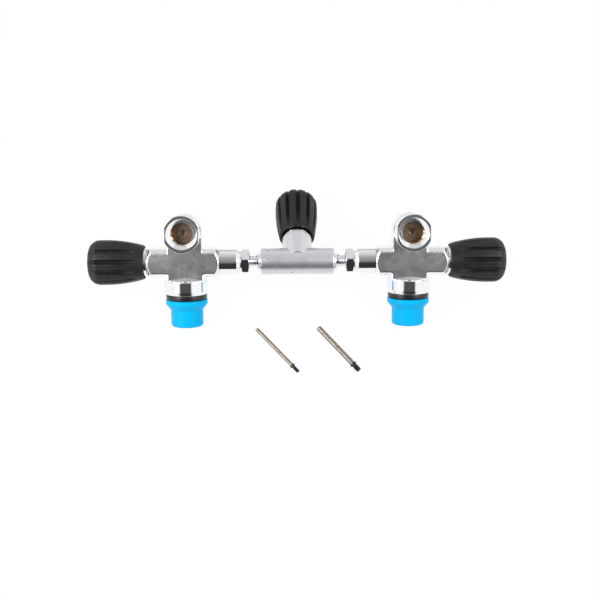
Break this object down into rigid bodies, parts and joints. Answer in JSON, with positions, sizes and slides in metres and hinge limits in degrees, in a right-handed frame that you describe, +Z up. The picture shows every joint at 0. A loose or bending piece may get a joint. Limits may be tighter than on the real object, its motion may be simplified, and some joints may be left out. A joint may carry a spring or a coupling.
{
  "type": "twin cylinder manifold",
  "caption": "Isolation manifold joining two diving cylinders: end valves with fluted knobs, threaded outlets and capped necks, a crossbar with a middle isolator valve, and loose dip tubes.",
  "frame": {"origin": "on the table the manifold lies on, under the middle of its outline", "axes": "+X along the crossbar to the right valve, +Y along the table from the capped necks towards the middle knob, +Z up from the table"},
  "size_m": [0.4002, 0.1836, 0.1026],
  "materials": {
    "matte_chrome": "satin chrome plate on brass, fine grain",
    "bright_chrome": "polished chrome plate on brass",
    "bare_brass": "machined brass",
    "knob_rubber": "matt moulded rubber",
    "hard_nylon": "moulded nylon",
    "seal_rubber": "smooth nitrile rubber",
    "seat_nylon": "turned nylon",
    "cap_plastic": "soft glossy cyan polyethylene",
    "spring_steel": "drawn stainless wire",
    "tube_metal": "plain drawn tube",
    "black_fitting": "blackened metal"
  },
  "bodies": {
    "manifold": {"isolator_body": "matte_chrome", "isolator_end_ring": "matte_chrome", "isolator_end_seal": "seal_rubber", "left_bonnet_nut": "bright_chrome", "left_bonnet_seal": "seal_rubber", "left_thrust_washer": "seat_nylon", "right_bonnet_nut": "bright_chrome", "right_bonnet_seal": "seal_rubber", "right_thrust_washer": "seat_nylon", "isolator_bonnet_nut": "bright_chrome", "isolator_bonnet_seal": "seal_rubber", "isolator_thrust_washer": "seat_nylon", "left_valve_body": "matte_chrome", "left_neck_seal": "seal_rubber", "left_crossbar_tube": "bright_chrome", "left_crossbar_seals": "seal_rubber", "left_lock_nut": "bright_chrome", "left_dip_tube": "tube_metal", "left_dip_tube_fitting": "black_fitting", "right_valve_body": "matte_chrome", "right_neck_seal": "seal_rubber", "right_crossbar_tube": "bright_chrome", "right_crossbar_seals": "seal_rubber", "right_lock_nut": "bright_chrome", "right_dip_tube": "tube_metal", "right_dip_tube_fitting": "black_fitting"},
    "left_knob": {"left_stem": "bare_brass", "left_stem_seals": "seal_rubber", "left_knob_core": "hard_nylon", "left_knob_grip": "knob_rubber", "left_knob_spring": "spring_steel", "left_knob_nut": "bright_chrome"},
    "left_seat": {"left_seat_carrier": "bare_brass", "left_seat_disc": "seat_nylon"},
    "right_knob": {"right_stem": "bare_brass", "right_stem_seals": "seal_rubber", "right_knob_core": "hard_nylon", "right_knob_grip": "knob_rubber", "right_knob_spring": "spring_steel", "right_knob_nut": "bright_chrome"},
    "right_seat": {"right_seat_carrier": "bare_brass", "right_seat_disc": "seat_nylon"},
    "isolator_knob": {"isolator_stem": "bare_brass", "isolator_stem_seals": "seal_rubber", "isolator_knob_core": "hard_nylon", "isolator_knob_grip": "knob_rubber", "isolator_knob_spring": "spring_steel", "isolator_knob_nut": "bright_chrome"},
    "isolator_seat": {"isolator_seat_carrier": "bare_brass", "isolator_seat_disc": "seat_nylon"},
    "left_cap": {"left_thread_cap": "cap_plastic"},
    "right_cap": {"right_thread_cap": "cap_plastic"}
  },
  "joints": [
    {"name": "left_knob_turn", "type": "hinge", "parent": "manifold", "child": "left_knob", "pos_m": [-0.1471, 0.00778, 0.04476], "axis": [-1, 0, 0], "range_deg": [0, 900]},
    {"name": "left_seat_lift", "type": "slide", "parent": "left_knob", "child": "left_seat", "axis": [-1, 0, 0], "range_m": [0, 0.0038]},
    {"name": "right_knob_turn", "type": "hinge", "parent": "manifold", "child": "right_knob", "pos_m": [0.1471, 0.00778, 0.04476], "axis": [1, 0, 0], "range_deg": [0, 900]},
    {"name": "right_seat_lift", "type": "slide", "parent": "right_knob", "child": "right_seat", "axis": [1, 0, 0], "range_m": [0, 0.0038]},
    {"name": "isolator_knob_turn", "type": "hinge", "parent": "manifold", "child": "isolator_knob", "pos_m": [0, 0.03759, 0.03459], "axis": [0, 0.9465, -0.3228], "range_deg": [0, 900]},
    {"name": "isolator_seat_lift", "type": "slide", "parent": "isolator_knob", "child": "isolator_seat", "axis": [0, 0.9465, -0.3228], "range_m": [0, 0.0038]},
    {"name": "left_cap_pull", "type": "slide", "parent": "manifold", "child": "left_cap", "axis": [0, -0.8557, -0.5175], "range_m": [0, 0.025]},
    {"name": "right_cap_pull", "type": "slide", "parent": "manifold", "child": "right_cap", "axis": [0, -0.8557, -0.5175], "range_m": [0, 0.025]}
  ],
  "couplings": [
    {"joint": "left_seat_lift", "follows": "left_knob_turn", "m_per_rad": 0.00023873},
    {"joint": "right_seat_lift", "follows": "right_knob_turn", "m_per_rad": 0.00023873},
    {"joint": "isolator_seat_lift", "follows": "isolator_knob_turn", "m_per_rad": 0.00023873}
  ]
}
